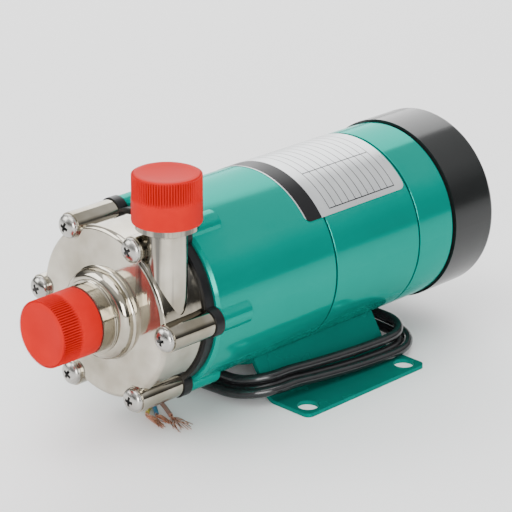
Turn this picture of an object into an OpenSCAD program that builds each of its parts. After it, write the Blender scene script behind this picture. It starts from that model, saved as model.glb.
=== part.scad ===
// Magnetic drive pump: a stainless pump head, turned through a sealed can by a ring of
// magnets on a small fan-cooled motor that stands on a pressed sheet foot.
// Millimetres, +Z up. The origin is the middle of the four foot holes, on the surface that
// the pump stands on. The pump axis runs along Y, with the inlet at -Y and the fan at +Y.

/* [Motor body] */
// Height of the pump axis above the standing surface
axis_height = 43.4; // [40:0.1:60]
// Outer diameter of the bracket, the shell and the rear ring
motor_d = 66.8; // [60:0.1:74]
// Joint of bracket and shell, from the middle of the foot holes
seam_y = -6.8; // [-12:0.1:0]
// Length of the front bracket
bracket_length = 57.9; // [54:0.1:70]
// Length of the motor shell
shell_length = 44; // [40:0.1:60]
// Length of the rear ring
ring_length = 18.7; // [17:0.1:25]
// Wall of the motor shell
shell_wall = 4; // [3.5:0.1:5]
// Wall of the bracket around the drive magnet
bracket_wall = 5.9; // [5.5:0.1:6.5]
// Size of the bevels that draw the joints of the body
seam_bevel = 0.5; // [0.2:0.1:1]
// Bevel of the bracket's front edge
front_bevel = 1; // [0.3:0.1:1.5]

/* [Fan cover] */
// Length of the fan cover
cover_length = 21.8; // [20:0.1:30]
// How far the fan cover stands out past the motor body
cover_lip = 0.8; // [0.4:0.1:2]
// Wall of the fan cover
cover_wall = 2; // [1.5:0.1:2.5]
// Open groove between the rear ring and the cover
cover_groove = 0.8; // [0.4:0.1:1.5]
// Rounding of the cover's rear edge
cover_round = 2; // [1:0.1:4]
// Number of air slots
slot_count = 20; // [12:1:24]
// Width of an air slot
slot_width = 2.2; // [1.5:0.1:2.5]
// Diameter of the fan
fan_d = 42; // [30:0.5:44]
// Number of fan blades
blade_count = 8; // [5:1:11]

/* [Foot] */
// Overall width of the foot
foot_width = 86.8; // [80:0.1:100]
// Length of the foot along the axis
foot_length = 62; // [56:0.1:80]
// Thickness of the sheet
sheet = 1.5; // [1:0.1:2]
// From the foot's outer edge to a hole's centre
hole_edge_x = 5.65; // [5:0.05:9]
// From the foot's end to a hole's centre
hole_edge_y = 5.6; // [5:0.05:9]
// Diameter of a foot hole
hole_d = 7.6; // [5:0.1:8]
// Half width across the two flat flanges, inside
flange_inner = 27; // [25:0.1:29]
// Outer radius of the bend at the flange
bend_r = 5.5; // [4:0.1:7]
// Slope of the foot's walls
wall_slope = 57; // [50:1:65]
// Corner radius of the flanges
foot_corner = 2.5; // [1:0.1:5]

/* [Pump head] */
// Diameter of the drum
drum_d = 60.6; // [58:0.1:63]
// Depth of the drum
drum_depth = 18.2; // [17:0.1:26]
// Rounding of the drum's front rim
rim_round = 1.8; // [0.5:0.1:3]
// Thickness of the drum's front wall
front_wall = 3.2; // [2.5:0.1:4]
// Wall of the drum around the chamber that the impeller turns in
drum_wall = 5.8; // [5.6:0.1:6.5]
// Thickness of the can's flange
can_flange = 3.7; // [3:0.1:5]
// How far the can's flange stands out past the drum
can_lip = 1.2; // [0.6:0.1:2]
// Depth of the can behind its flange
can_depth = 22; // [20:0.1:26]
// Inner diameter of the can
can_bore = 28.4; // [27.6:0.1:29]
// Wall of the can
can_wall = 1.8; // [1.2:0.1:2.2]
// How far the casing screws' axes lie outside the drum's wall
screw_offset = 0.8; // [0.6:0.1:1.4]
// Diameter of a screw column
column_d = 9.4; // [8.6:0.1:10]
// How far a screw column stands out of the drum's face
column_rise = 0.3; // [0.1:0.1:1]
// How far a screw column stops short of the can's flange
seam_relief = 0.05; // [0.02:0.01:0.2]
// How far the can's lobes stand out past the columns
lobe_lip = 0.5; // [0.2:0.1:1]
// Thread diameter of a casing screw
screw_d = 4; // [3.5:0.1:4.2]
// Diameter of a screw's head
head_d = 8.6; // [8:0.1:9.2]
// Height of a screw's head
head_height = 2.9; // [2.4:0.1:3.5]
// How far a casing screw reaches into the bracket
screw_grip = 9; // [6:0.1:10]
// Length of the pads on the bracket that take the screws
pad_length = 14.6; // [13:0.1:17]

/* [Ports] */
// Diameter of the half inch pipe thread, midway up its ridges
thread_d = 20.4; // [20:0.1:20.8]
// Length of both port threads
thread_length = 14.8; // [12:0.1:20]
// From the drum's face to the shoulder behind the inlet's thread
inlet_neck = 10.2; // [9.5:0.1:16]
// Diameter of the inlet's shoulder
shoulder_d = 24; // [23:0.1:26]
// From the inlet's shoulder to the two beads behind it
neck_length = 4.4; // [3.5:0.1:5]
// Diameter of a bead
bead_d = 25.7; // [24.6:0.1:27]
// Width of a bead
bead_width = 0.55; // [0.4:0.05:0.7]
// Width of the outlet's shoulder
shoulder_width = 1.8; // [1.2:0.1:2.2]
// Largest diameter of the bulge at the foot of the inlet
bulge_d = 31.8; // [30:0.1:36]
// Diameter of the inlet's bore
inlet_bore = 13; // [12.5:0.1:14]
// How far the outlet pipe's outer side lies inside the drum's wall
outlet_inset = 0.55; // [0.2:0.05:1]
// Outlet's axis, behind the drum's face
outlet_back = 8.1; // [7.6:0.1:9]
// Diameter of the outlet pipe
outlet_pipe_d = 13.5; // [12.6:0.1:14]
// Diameter of the outlet's bore
outlet_bore = 9; // [7:0.1:9.4]
// Height of the outlet's shoulder above the pump axis
outlet_rise = 36.8; // [34:0.1:60]
// Diameter of the outlet's shoulder
outlet_shoulder_d = 21.2; // [21:0.1:23]

/* [Caps] */
// Diameter of a cap's plain skirt
cap_skirt_d = 23.6; // [23.2:0.1:25]
// Diameter of a cap's ribbed end
cap_top_d = 22.6; // [22.4:0.1:23.2]
// Length of a cap's plain skirt
cap_skirt = 7.5; // [4:0.1:10]
// Thickness of a cap's end
cap_end = 1.8; // [1.2:0.1:2.5]
// Number of ribs on a cap
rib_count = 60; // [40:1:64]
// How far a rib stands out
rib_height = 0.3; // [0.1:0.1:0.5]
// Gap between a cap and the thread that it covers
cap_clearance = 0.45; // [0.35:0.05:0.5]
// Gap between a cap and its seat
cap_gap = 0.3; // [0.2:0.05:0.5]

/* [Drive] */
// Diameter of the motor shaft in its bearings
journal_d = 8; // [7:0.1:9]
// Diameter of the motor shaft in the rotor
core_shaft_d = 10; // [9.5:0.1:11]
// Outer diameter of a ball bearing
bearing_d = 22; // [21:0.1:23]
// Width of a ball bearing
bearing_width = 7; // [6.5:0.1:7.5]
// Number of balls in a bearing
ball_count = 7; // [5:1:8]
// Diameter of a ball
ball_d = 3.9; // [3.5:0.1:4]
// Length of the stator and of the rotor core
stack_length = 32; // [24:0.1:33]
// Inner diameter of the stator
stator_bore = 33; // [30:0.1:34]
// Air gap between rotor and stator
air_gap = 0.4; // [0.3:0.05:0.6]
// Number of stator slots
winding_slots = 12; // [8:1:12]
// Diameter of a tie bolt
tie_bolt_d = 3; // [2.5:0.1:3.2]
// Gap between the can and the drive magnet
magnet_gap = 1; // [0.6:0.1:1.4]
// Thickness of the drive magnet
magnet_wall = 3.4; // [2.5:0.1:4]
// Wall of the steel hub around the drive magnet
yoke_wall = 3; // [2:0.1:3.5]

/* [Impeller] */
// Diameter of the impeller
impeller_d = 40; // [34:0.1:44]
// Number of vanes
vane_count = 6; // [4:1:8]
// Width of the vanes' channel
vane_width = 6; // [4:0.1:6.5]
// Diameter of the ceramic shaft
spindle_d = 6; // [5.6:0.1:6.4]
// Wall of the bearing bush
bush_wall = 1.6; // [1.2:0.1:1.8]
// Axial play of the impeller at each end
end_play = 0.3; // [0.2:0.05:0.5]

/* [Fits] */
// Gap of pieces that are pressed or glued together
press_clearance = 0.03; // [0.02:0.01:0.05]
// Gap of surfaces that turn on each other
run_clearance = 0.06; // [0.03:0.01:0.1]
// Gap around a screw in its hole
screw_clearance = 0.15; // [0.1:0.05:0.2]
// Gap between the foot's saddle and the motor
saddle_gap = 0.1; // [0.05:0.05:0.3]

/* [Cable] */
// Diameter of the cable
cable_d = 3.6; // [3:0.1:3.8]
// Length of the tapered sleeve on the cable
sleeve_length = 20; // [16:0.5:24]
// Distance of the sleeve's axis from the motor's surface
sleeve_offset = 5.1; // [4.8:0.1:6]
// Direction of the sleeve from the pump axis, from +X
sleeve_angle = 226; // [222:1:230]

/* [Hidden] */
$fn = 64;
tiny = 0.01;
screw_count = 6;

// Radii
motor_r = motor_d / 2;
drum_r = drum_d / 2;
shell_bore_r = motor_r - shell_wall;
chamber_r = drum_r - drum_wall;
column_r = column_d / 2;
screw_circle_r = drum_r + screw_offset;
can_flange_r = drum_r + can_lip;
cover_r = motor_r + cover_lip;
screw_hole_r = screw_d / 2 + screw_clearance;
can_r = can_bore / 2 + can_wall;
thread_r = thread_d / 2;
journal_r = journal_d / 2;
core_shaft_r = core_shaft_d / 2;
bearing_r = bearing_d / 2;
spindle_r = spindle_d / 2;

// Stations along the pump axis
bracket_front = seam_y - bracket_length;
shell_rear = seam_y + shell_length;
ring_rear = shell_rear + ring_length;
cover_front = ring_rear + cover_groove;
cover_rear = cover_front + cover_length;
can_front = bracket_front - can_flange;
drum_face = can_front - drum_depth;
screw_seat = drum_face - column_rise;
chamber_front = drum_face + front_wall;
can_rear = bracket_front + can_depth;
inlet_shoulder = drum_face - inlet_neck;
inlet_tip = inlet_shoulder - thread_length;
outlet_x = drum_r - outlet_inset - outlet_pipe_d / 2;
outlet_y = drum_face + outlet_back;
outlet_shoulder = axis_height + outlet_rise;
outlet_tip = outlet_shoulder + thread_length;
cap_length = thread_length + cap_end;

// Motor inside
spigot_length = 3;
spigot_r = shell_bore_r - 0.1;
cavity_r = spigot_r - 2.3;
web_thickness = 9;
lip_thickness = 1.5;
front_bearing_y = seam_y - 8.2 - bearing_width - 2;
web_front = front_bearing_y - lip_thickness;
rear_bearing_y = shell_rear + 7.2;
ring_web = shell_rear + 5.8;
washer_gap = 1.2;
stack_front = seam_y + (shell_length - stack_length) / 2;
stack_rear = stack_front + stack_length;
rotor_r = stator_bore / 2 - air_gap;
end_ring = 3;
winding_r = cavity_r - 1;
end_turn = 7;
tie_circle_r = shell_bore_r - tie_bolt_d / 2 + 0.9;
tie_hole_r = tie_bolt_d / 2 + screw_clearance;
tie_hole_front = web_front + web_thickness / 3;
tie_head_d = tie_bolt_d * 1.8;
tie_head_height = tie_bolt_d * 0.63;
tie_head_seat = ring_rear - tie_bolt_d * 0.73;
ball_circle_r = (journal_r + bearing_r) / 2;
race_groove_r = ball_d / 2 + run_clearance;
land = 1.3;

// Drive magnet and its hub
drive_magnet_r = can_r + magnet_gap;
yoke_bore_r = drive_magnet_r + magnet_wall + press_clearance;
yoke_r = yoke_bore_r + yoke_wall;
yoke_front = bracket_front + 1.5;
yoke_floor = can_rear + 1.5;
hub_r = journal_r + 5;
hub_floor = 3.5;
hub_rear = web_front - 2;

// Impeller inside the can
bush_r = spindle_r + run_clearance + bush_wall;
can_floor = can_rear - 2.4;
socket_r = spindle_r + 2;
socket_front = can_floor - 2;
thrust_thickness = 1.5;
bush_rear = socket_front - thrust_thickness - end_play;
carrier_rear = bush_rear - 0.3;
carrier_r = can_bore / 2 - 1.2;
back_disc = can_front - 5;
disc_thickness = 1.8;
vane_front = back_disc - disc_thickness - vane_width;
shroud_front = vane_front - 1.5;
eye_front = chamber_front + 0.5;
eye_r = inlet_bore / 2 - 0.3;
support_rear = chamber_front;
bush_front = support_rear + thrust_thickness + end_play;
support_length = 8;
spindle_front = support_rear - support_length + 1.5;
spindle_rear = can_rear - 1;

// Fan cover inside
cover_screw_d = 3;
cover_head_d = cover_screw_d * 1.8;
cover_head_height = cover_screw_d * 0.53;
cover_head_seat = cover_rear - cover_screw_d * 0.6;
cover_grip = cover_screw_d * 5 / 3;
pillar_r = cover_screw_d * 0.93;
slot_inset = 10;
slot_inner_r = fan_d / 2 - slot_inset;
slot_length = 11;
cover_spigot_length = 3.6;
spigot_rear = ring_rear + cover_spigot_length;
cover_bore_r = cover_r - cover_wall;
cover_spigot_r = cover_bore_r - 0.4;
cover_spigot_wall = 2.1;
pillar_circle_r = cover_spigot_r - cover_spigot_wall - 0.4 - pillar_r;
fan_y = spigot_rear + 1;
fan_hub_wall = 3;
blade_root_r = journal_r + fan_hub_wall - 1;
fan_depth = cover_rear - cover_wall - 2 - fan_y;

// Foot
hole_x = foot_width / 2 - hole_edge_x;
hole_y = foot_length / 2 - hole_edge_y;
saddle_r = motor_r + saddle_gap;
bend_inner = bend_r - sheet;
wall_foot = [flange_inner - bend_r * sin(wall_slope), bend_r * (1 - cos(wall_slope))];
wall_length = (axis_height - motor_r) * 1.5 + 2;
foot_screw_d = 4;
foot_head_d = foot_screw_d * 2;
foot_head_height = foot_screw_d * 0.65;
foot_screw_front = web_front + web_thickness / 2;
foot_screw_rear = foot_length / 2 - 11;
foot_screw_length = sheet + saddle_gap + shell_wall - 0.6;

// Cable: out of the sleeve, three times round the foot's walls, and out to the front
sleeve_radius = motor_r + sleeve_offset;
sleeve_rear = shell_rear + 2.8;
sleeve_tip = sleeve_rear - sleeve_length;
sleeve_x = sleeve_radius * cos(sleeve_angle);
sleeve_z = axis_height + sleeve_radius * sin(sleeve_angle);
boss_r = 5;
boss_length = 10;
plug_r = 3 - press_clearance;
plug_length = 6;
collar_r = 4.4;
collar_width = 1.5;
strand = cable_d + 0.05;
low = sheet + 0.1 + cable_d / 2;
high = low + strand;
lane = flange_inner + 1.4;
outer_lane = lane + strand;
bend = 4 * cable_d;
bend_x = lane - bend;
front_bend = -foot_length / 2 + 7.4;
rear_bend = foot_length / 2 - 3.6;
front_pull = 3;
front_lift = 3;
cable_end = [-3, -61.5, cable_d / 2 + 0.1];
lead_route = [[sleeve_x, sleeve_tip - 0.1, sleeve_z], [sleeve_x, sleeve_tip - 4, sleeve_z],
    [-26.9, 11, 15], [-27.2, 4, 13.4], [-27.6, -4, 10.6], [-28, -12, 8.3], [-lane, -19, 7.2]];
cable_route = concat(lead_route,
    turn(bend, [high, high + 0.5, high + front_lift, high + 1, high + 1.2, high]), slide(lane, 10, lane, -14, high, low),
    turn(bend, [low, low + 0.5, low + front_lift, low, low, low]), slide(lane, 24, outer_lane, 4, low, low),
    turn(bend + strand, [low, low + 0.5, low + front_lift, low, low, low + 1]), slide(outer_lane, 24, outer_lane, 15, low + 1.6, high),
    [[-outer_lane, -22, high], [-outer_lane - 0.2, -28, high - 0.1], [-outer_lane - 0.1, -34, 6.2],
    [-31, -41, 4.6], [-28, -48, 2.9], [-22.5, -54, 2.1], [-16, -58, 1.9],
    cable_end - [4, -1.5, 0], cable_end]);
core_d = 1.6;
along = [0.936, -0.351, 0];
aside = [0.351, 0.936, 0];
brown_start = cable_end + 0.5 * along + 0.95 * aside + [0, 0, 0.5];
blue_start = cable_end + 0.5 * along - 0.95 * aside + [0, 0, 0.5];
earth_start = cable_end + 0.5 * along - [0, 0, 1];
brown_route = [brown_start, brown_start + [4, -0.9, -0.2], [5.4, -62.9, 1.7], [9.8, -64.8, 1.2]];
blue_route = [blue_start, blue_start + [3, -1.3, 0.5], [2.6, -65.6, 2.2], [5.8, -67.7, 1.4]];
earth_route = [earth_start, earth_start + [1.6, -2.4, 0], [0.4, -66.6, 0.9], [2.4, -69, 0.9]];

green = [0.0, 0.62, 0.55];
steel = [0.75, 0.74, 0.72];
black = [0.08, 0.08, 0.085];
grey = [0.22, 0.23, 0.24];
red = [0.88, 0.26, 0.22];
white = [0.92, 0.91, 0.88];
copper = [0.72, 0.42, 0.26];

// Shapes shared by several sub-parts

// Turns an outline of radius and station about the pump axis.
module turned() {
    translate([0, 0, axis_height]) rotate([-90, 0, 0]) rotate_extrude() children();
}

// One band of such an outline.
module band(r_in, r_out, y_from, y_to) {
    translate([r_in, y_from]) square([r_out - r_in, y_to - y_from]);
}

// A band with bevelled outer edges.
module bevelled_band(r_out, y_from, y_to, bevel, rear_bevel) {
    polygon([[0, y_from], [r_out - bevel, y_from], [r_out, y_from + bevel],
        [r_out, y_to - rear_bevel], [r_out - rear_bevel, y_to], [0, y_to]]);
}

// Places what is drawn at a radius from the pump axis, at an angle from +X towards +Z.
module around(angle, radius) {
    translate([0, 0, axis_height]) rotate([0, -angle, 0]) translate([radius, 0, 0]) children();
}

// A round bar along Y.
module bar(r, y_from, y_to) {
    translate([0, y_from, 0]) rotate([-90, 0, 0]) cylinder(r = r, h = y_to - y_from);
}

function screw_angle(i) = (i - 1) * 360 / screw_count;
function tie_angle(i) = 45 + (i - 1) * 90;
function pillar_angle(i) = 90 + (i - 1) * 120;

module at_screws(radius = screw_circle_r) {
    for (i = [1 : screw_count]) around(screw_angle(i), radius) children();
}

module at_ties() {
    for (i = [1 : 4]) around(tie_angle(i), tie_circle_r) children();
}

module at_pillars() {
    for (i = [1 : 3]) around(pillar_angle(i), pillar_circle_r) children();
}

// A screw along +Y from the underside of its head, with a domed head and a cross recess.
module pan_screw(thread, head, height, length) {
    dome_r = (head * head / 4 + height * height) / (2 * height);
    difference() {
        union() {
            bar(thread / 2, -tiny, length);
            rotate([90, 0, 0]) rotate_extrude() intersection() {
                square([head / 2, height]);
                translate([0, height - dome_r]) circle(r = dome_r);
            }
        }
        for (turn = [0, 90]) rotate([0, turn, 0])
            translate([-head / 4, -height - tiny, -head / 20]) cube([head / 2, height * 0.6, head / 10]);
    }
}

// Foot

// One side of the sheet's outline: the flange, the bend and the sloping wall.
module foot_side() {
    overlap = 0.05;
    translate([flange_inner - overlap, 0]) square([foot_width / 2 - flange_inner + overlap, sheet]);
    translate([flange_inner, bend_r]) intersection() {
        difference() {
            circle(r = bend_r);
            circle(r = bend_inner);
        }
        reach = bend_r * 3;
        polygon([[0, 0], [0, -reach], [-reach * sin(wall_slope), -reach],
            [-reach * sin(wall_slope), -reach * cos(wall_slope)]]);
    }
    translate(wall_foot) rotate(180 - wall_slope) translate([-overlap, -sheet]) square([wall_length, sheet]);
}

module foot_outline() {
    difference() {
        union() {
            foot_side();
            mirror([1, 0]) foot_side();
            intersection() {
                translate([0, axis_height]) circle(r = saddle_r + sheet);
                translate([-saddle_half, 0]) square([2 * saddle_half, axis_height]);
            }
        }
        translate([0, axis_height]) circle(r = saddle_r);
        translate([-motor_r, axis_height]) square([2 * motor_r, motor_r]);
    }
}

// Half width at which the walls run into the saddle
wall_top = [wall_foot[0] + sheet * sin(wall_slope), wall_foot[1] + sheet * cos(wall_slope)];
wall_reach = (wall_top[0] * cos(wall_slope) + (axis_height - wall_top[1]) * sin(wall_slope));
wall_run = wall_reach - sqrt(pow(wall_reach, 2) - pow(wall_top[0], 2)
    - pow(axis_height - wall_top[1], 2) + pow(saddle_r, 2));
saddle_half = wall_top[0] - wall_run * cos(wall_slope);

module foot_plan() {
    inset = foot_width / 2 - foot_corner;
    for (x = [-inset, inset], y = [-1, 1])
        translate([x, y * (foot_length / 2 - foot_corner)]) circle(r = foot_corner);
    square([2 * inset, foot_length], center = true);
    square([foot_width, foot_length - 2 * foot_corner], center = true);
}

module base() {
    color(green) difference() {
        intersection() {
            translate([0, foot_length / 2, 0]) rotate([90, 0, 0])
                linear_extrude(foot_length) foot_outline();
            linear_extrude(axis_height) foot_plan();
        }
        for (x = [-1, 1], y = [-1, 1])
            translate([x * hole_x, y * hole_y, -1]) cylinder(d = hole_d, h = sheet + 2);
        for (y = [foot_screw_front, foot_screw_rear])
            translate([0, y, 0]) cylinder(d = foot_screw_d + 2 * screw_clearance, h = axis_height);
    }
}

module base_screw(y) {
    color(steel) translate([0, y, axis_height - saddle_r - sheet]) rotate([90, 0, 0])
        pan_screw(foot_screw_d, foot_head_d, foot_head_height, foot_screw_length);
}

// Where a foot screw goes into the motor
module foot_screw_hole(y) {
    translate([0, y, axis_height - saddle_r - sheet])
        cylinder(d = foot_screw_d + 2 * screw_clearance, h = foot_screw_length + 0.3);
}

// Motor body

module front_bracket() {
    color(green) difference() {
        union() {
            turned() bevelled_band(motor_r, bracket_front, seam_y, front_bevel, seam_bevel);
            turned() band(cavity_r, spigot_r, seam_y - 1, seam_y + spigot_length);
            at_screws() bar(column_r, bracket_front, bracket_front + pad_length - 1);
            at_screws() translate([0, bracket_front + pad_length - 1 - tiny, 0]) rotate([-90, 0, 0])
                cylinder(r1 = column_r, r2 = column_r - 0.9, h = 1);
        }
        turned() band(0, motor_r - bracket_wall, bracket_front - 1, web_front);
        turned() band(0, bearing_r - land - 1, web_front - 1, front_bearing_y + 1);
        turned() band(0, bearing_r + press_clearance, front_bearing_y, seam_y);
        turned() band(0, cavity_r, web_front + web_thickness, seam_y + spigot_length + 1);
        at_screws() bar(screw_hole_r, bracket_front - 1, bracket_front + screw_grip + 1);
        at_ties() bar(tie_hole_r, tie_hole_front, seam_y + spigot_length + 1);
        foot_screw_hole(foot_screw_front);
    }
}

module motor_shell() {
    color(green) difference() {
        turned() bevelled_band(motor_r, seam_y, shell_rear, seam_bevel, seam_bevel);
        turned() band(0, shell_bore_r, seam_y - 1, shell_rear + 1);
        at_ties() bar(tie_hole_r, seam_y - 1, shell_rear + 1);
        foot_screw_hole(foot_screw_rear);
    }
}

module rear_ring() {
    color(green) difference() {
        union() {
            turned() bevelled_band(motor_r, shell_rear, ring_rear, seam_bevel, seam_bevel);
            turned() band(cavity_r, spigot_r, shell_rear - spigot_length, shell_rear + 1);
            turned() band(cover_spigot_r - cover_spigot_wall, cover_spigot_r, ring_rear - 1, spigot_rear);
            around(sleeve_angle, sleeve_radius) bar(boss_r, sleeve_rear, sleeve_rear + boss_length);
            around(sleeve_angle, cavity_r + 1) translate([0, sleeve_rear, -boss_r])
                cube([sleeve_radius - cavity_r - 1, boss_length, 2 * boss_r]);
        }
        turned() band(0, cavity_r, shell_rear - spigot_length - 1, ring_web);
        turned() band(0, bearing_r + press_clearance, ring_web - 1, rear_bearing_y + bearing_width + washer_gap);
        turned() band(0, bearing_r - land - 1, ring_web, ring_rear + 1);
        at_ties() bar(tie_hole_r, shell_rear - spigot_length - 1, ring_rear + 1);
        at_ties() bar(tie_bolt_d, tie_head_seat, spigot_rear + 1);
        at_pillars() bar(cover_screw_d / 2 + screw_clearance, ring_rear - cover_grip - 1, ring_rear + 1);
        around(sleeve_angle, sleeve_radius) bar(plug_r + press_clearance, sleeve_rear - 1, sleeve_rear + plug_length + 0.5);
    }
}

// A cup over the fan, open at the front, with air slots in its rear wall.
module fan_cover() {
    color(grey) difference() {
        union() {
            turned() difference() {
                union() {
                    band(0, cover_r, cover_front, cover_rear - cover_round);
                    band(0, cover_r - cover_round, cover_rear - cover_round - tiny, cover_rear);
                    translate([cover_r - cover_round, cover_rear - cover_round]) circle(r = cover_round);
                }
                band(0, cover_bore_r, cover_front - 1, cover_rear - cover_wall);
            }
            at_pillars() bar(pillar_r, ring_rear, cover_rear - cover_wall + tiny);
        }
        for (i = [1 : slot_count]) around((i + 0.5) * 360 / slot_count, slot_inner_r)
            translate([0, cover_rear - cover_wall - 1, -slot_width / 2])
                cube([slot_length, cover_wall + 2, slot_width]);
        at_pillars() bar(cover_screw_d / 2 + screw_clearance, ring_rear - 1, cover_rear + 1);
        at_pillars() bar(cover_screw_d, cover_head_seat, cover_rear + 1);
    }
}

module cover_screw(i) {
    color(steel) around(pillar_angle(i), pillar_circle_r) translate([0, cover_head_seat, 0])
        rotate([0, 0, 180])
            pan_screw(cover_screw_d, cover_head_d, cover_head_height, cover_head_seat - ring_rear + cover_grip);
}

module tie_bolt(i) {
    color(steel) around(tie_angle(i), tie_circle_r) translate([0, tie_head_seat, 0])
        rotate([0, 0, 180])
            pan_screw(tie_bolt_d, tie_head_d, tie_head_height, tie_head_seat - tie_hole_front - 1);
}

// Motor inside

module stator_core() {
    color(grey) difference() {
        turned() band(stator_bore / 2, shell_bore_r - press_clearance, stack_front, stack_rear);
        for (i = [1 : winding_slots]) around(i * 360 / winding_slots, stator_bore / 2 + 2)
            translate([0, stack_front - 1, -2]) cube([winding_r - stator_bore / 2 - 2, stack_length + 2, 4]);
        for (i = [1 : winding_slots]) around(i * 360 / winding_slots, stator_bore / 2 - 1)
            translate([0, stack_front - 1, -0.6]) cube([4, stack_length + 2, 1.2]);
        at_ties() bar(tie_hole_r + 0.1, stack_front - 1, stack_rear + 1);
    }
}

module stator_winding() {
    inner_r = stator_bore / 2 + 2.2;
    color(copper) {
        turned() band(inner_r, winding_r - 0.2, stack_front - end_turn, stack_front - 0.2);
        turned() band(inner_r, winding_r - 0.2, stack_rear + 0.2, stack_rear + end_turn);
        for (i = [1 : winding_slots]) around(i * 360 / winding_slots, inner_r)
            translate([0, stack_front - 1, -1.8]) cube([winding_r - 0.2 - inner_r, stack_length + 2, 3.6]);
    }
}

module rotor_core() {
    color(grey) difference() {
        union() {
            turned() band(0, rotor_r, stack_front, stack_rear);
            turned() band(0, rotor_r - 1.5, stack_front - end_ring, stack_rear + end_ring);
        }
        turned() band(0, core_shaft_r + press_clearance, stack_front - end_ring - 1, stack_rear + end_ring + 1);
    }
}

module motor_shaft() {
    shoulder = front_bearing_y + bearing_width;
    color(steel) turned() {
        band(0, journal_r - press_clearance, yoke_floor + 0.5, fan_y + fan_depth - 1);
        band(0, core_shaft_r, shoulder, rear_bearing_y);
    }
}

module bearing_outer(y) {
    color(steel) turned() difference() {
        band(bearing_r - land, bearing_r, y, y + bearing_width);
        translate([ball_circle_r, y + bearing_width / 2]) circle(r = race_groove_r);
    }
}

module bearing_inner(y) {
    color(steel) turned() difference() {
        band(journal_r, journal_r + land, y, y + bearing_width);
        translate([ball_circle_r, y + bearing_width / 2]) circle(r = race_groove_r);
    }
}

module bearing_balls(y) {
    color(steel) union() {
        for (i = [1 : ball_count]) around(i * 360 / ball_count, ball_circle_r)
            translate([0, y + bearing_width / 2, 0]) sphere(d = ball_d);
        turned() band(ball_circle_r - 0.4, ball_circle_r + 0.4, y + bearing_width / 2 - 1, y + bearing_width / 2 + 1);
    }
}

module preload_washer() {
    seat = rear_bearing_y + bearing_width;
    color(steel) turned() band(bearing_r - land - 0.5, bearing_r - 0.3, seat + 0.1, seat + washer_gap - 0.1);
}

module fan() {
    color(black) difference() {
        union() {
            turned() band(0, journal_r + fan_hub_wall, fan_y, fan_y + fan_depth);
            turned() band(0, fan_d / 2, fan_y, fan_y + 1.4);
            for (i = [1 : blade_count]) around(i * 360 / blade_count, blade_root_r)
                translate([0, fan_y, -0.6]) cube([fan_d / 2 - blade_root_r - 0.2, fan_depth - 1, 1.2]);
        }
        turned() band(0, journal_r, fan_y - 1, fan_y + fan_depth + 1);
    }
}

// Magnetic coupling

module magnet_hub() {
    color(grey) difference() {
        union() {
            turned() band(0, yoke_r, yoke_front, yoke_floor + hub_floor);
            turned() band(0, hub_r, yoke_floor, hub_rear);
        }
        turned() band(0, yoke_bore_r, yoke_front - 1, yoke_floor);
        turned() band(0, journal_r, yoke_floor - 1, hub_rear + 1);
        set_screw_place() cylinder(d = 3 + 2 * press_clearance, h = hub_r + 1);
    }
}

module set_screw_place() {
    translate([0, (yoke_floor + hub_floor + hub_rear) / 2, axis_height]) children();
}

module hub_set_screw() {
    color(steel) set_screw_place() translate([0, 0, journal_r]) cylinder(d = 3, h = hub_r - journal_r - 0.5);
}

module drive_magnet() {
    color(grey) turned()
        band(drive_magnet_r, yoke_bore_r - press_clearance, yoke_front, yoke_floor - press_clearance);
}

// Pump head

// The can: a lobed flange between drum and bracket, and a cup that keeps the water in.
module rear_casing() {
    color(black) difference() {
        union() {
            turned() band(0, can_flange_r, can_front, bracket_front);
            at_screws() bar(column_r + lobe_lip, can_front, bracket_front);
            turned() band(0, can_r, can_front, can_rear);
        }
        difference() {
            turned() band(0, can_bore / 2, can_front - 1, can_floor);
            turned() band(0, socket_r, socket_front, can_rear);
        }
        turned() band(0, spindle_r + press_clearance, socket_front - 1, spindle_rear);
        at_screws() bar(screw_hole_r, can_front - 1, bracket_front + 1);
    }
}

seal_r = 0.95;
seal_circle_r = chamber_r + 0.9 + seal_r;

module casing_seal() {
    color(black) turned() translate([seal_circle_r, can_front - seal_r - 0.02]) circle(r = seal_r);
}

module spindle() {
    color(white) turned() band(0, spindle_r, spindle_front, spindle_rear);
}

// A three-legged holder in the inlet that steadies the front end of the spindle.
module spindle_support() {
    ring_r = inlet_bore / 2 - press_clearance;
    color(black) difference() {
        union() {
            turned() band(ring_r - 1, ring_r, support_rear - support_length, support_rear);
            turned() band(0, spindle_r + 1.2, support_rear - support_length, support_rear);
            for (i = [0 : 2]) around(90 + i * 120, spindle_r + 0.6)
                translate([0, support_rear - support_length, -0.6]) cube([ring_r - spindle_r - 1, support_length, 1.2]);
        }
        turned() band(0, spindle_r + press_clearance, spindle_front, support_rear + 1);
    }
}

module thrust_ring(y) {
    color(white) turned() band(spindle_r + press_clearance, spindle_r + 1.2, y, y + thrust_thickness);
}

// One backward curved vane, from the eye to the rim.
module vane() {
    bow = impeller_d * 0.32;
    intersection() {
        translate([bow, 0]) difference() {
            circle(r = bow * 1.05);
            circle(r = bow * 0.95);
        }
        square([impeller_d, impeller_d]);
        difference() {
            circle(d = impeller_d - 0.6);
            circle(r = eye_r + 0.4);
        }
    }
}

module impeller() {
    color(black) difference() {
        union() {
            turned() band(eye_r, impeller_d / 2, shroud_front, vane_front);
            turned() band(eye_r, eye_r + 1.4, eye_front, vane_front);
            translate([0, vane_front - tiny, axis_height]) rotate([-90, 0, 0])
                linear_extrude(vane_width + 2 * tiny)
                    for (i = [1 : vane_count]) rotate(i * 360 / vane_count) vane();
            turned() band(0, impeller_d / 2, back_disc - disc_thickness, back_disc);
            turned() band(0, bush_r + 0.8, vane_front + 1, back_disc);
            turned() band(0, carrier_r, back_disc - tiny, carrier_rear);
        }
        turned() band(0, bush_r + press_clearance, eye_front - 1, carrier_rear + 1);
        turned() band(carrier_r - 4.6, carrier_r - 0.6, back_disc + 3, carrier_rear + 1);
    }
}

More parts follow.
